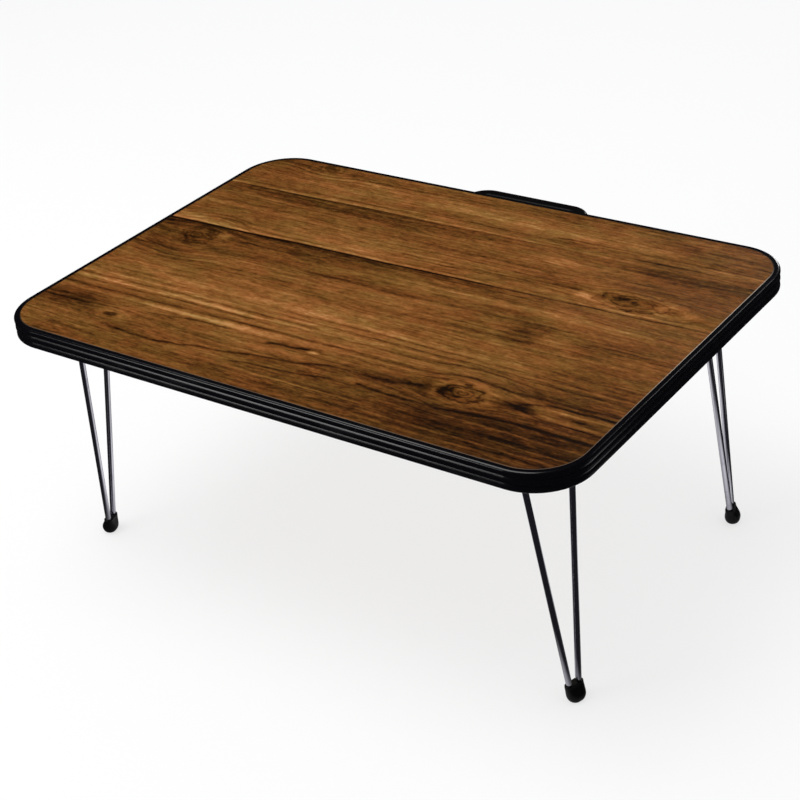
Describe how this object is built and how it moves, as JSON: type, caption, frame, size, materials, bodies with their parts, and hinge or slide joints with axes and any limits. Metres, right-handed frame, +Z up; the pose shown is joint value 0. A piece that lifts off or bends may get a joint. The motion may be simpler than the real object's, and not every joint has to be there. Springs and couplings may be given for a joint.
{
  "type": "folding low table",
  "caption": "Low folding floor table: rounded wood-grain top, ribbed black edge trim, carry handle on the long back edge, and hairpin wire legs that fold flat.",
  "frame": {"origin": "on the floor, under the middle of the overall size, carry handle included", "axes": "+Z up, +X along the table's long edge, +Y towards the long edge with the carry handle"},
  "size_m": [0.6, 0.461, 0.26],
  "materials": {
    "fibreboard": "bare pressed fibreboard, hidden",
    "wood_print": "satin brown rustic pine print",
    "backing": "matt pale backing paper",
    "chrome_wire": "bright chrome plate on steel wire",
    "zinc_plate": "zinc-plated pressed sheet",
    "screw_steel": "zinc-plated pan-head screw",
    "black_trim": "black extruded edge trim, satin to gloss",
    "black_cap": "black soft vinyl foot cap, satin",
    "black_handle": "black moulded handle, fine satin grain"
  },
  "bodies": {
    "top": {"board_core": "fibreboard", "grain_laminate": "wood_print", "backing_sheet": "backing", "edge_trim": "black_trim", "carry_handle": "black_handle", "handle_screws": "screw_steel", "hinge_plate_front_left": "zinc_plate", "hinge_screws_front_left": "screw_steel", "hinge_plate_front_right": "zinc_plate", "hinge_screws_front_right": "screw_steel", "hinge_plate_rear_left": "zinc_plate", "hinge_screws_rear_left": "screw_steel", "hinge_plate_rear_right": "zinc_plate", "hinge_screws_rear_right": "screw_steel"},
    "leg_front_left": {"leg_wire_front_left": "chrome_wire", "foot_cap_front_left": "black_cap"},
    "leg_front_right": {"leg_wire_front_right": "chrome_wire", "foot_cap_front_right": "black_cap"},
    "leg_rear_left": {"leg_wire_rear_left": "chrome_wire", "foot_cap_rear_left": "black_cap"},
    "leg_rear_right": {"leg_wire_rear_right": "chrome_wire", "foot_cap_rear_right": "black_cap"}
  },
  "joints": [
    {"name": "fold_front_left", "type": "hinge", "parent": "top", "child": "leg_front_left", "pos_m": [-0.245, -0.162, 0.2336], "axis": [0.2924, -0.9563, 0], "range_deg": [0, 95.4]},
    {"name": "fold_front_right", "type": "hinge", "parent": "top", "child": "leg_front_right", "pos_m": [0.245, -0.162, 0.2336], "axis": [0.2924, 0.9563, 0], "range_deg": [0, 95.4]},
    {"name": "fold_rear_left", "type": "hinge", "parent": "top", "child": "leg_rear_left", "pos_m": [-0.245, 0.121, 0.2336], "axis": [-0.2924, -0.9563, 0], "range_deg": [0, 95.4]},
    {"name": "fold_rear_right", "type": "hinge", "parent": "top", "child": "leg_rear_right", "pos_m": [0.245, 0.121, 0.2336], "axis": [-0.2924, 0.9563, 0], "range_deg": [0, 95.4]}
  ]
}
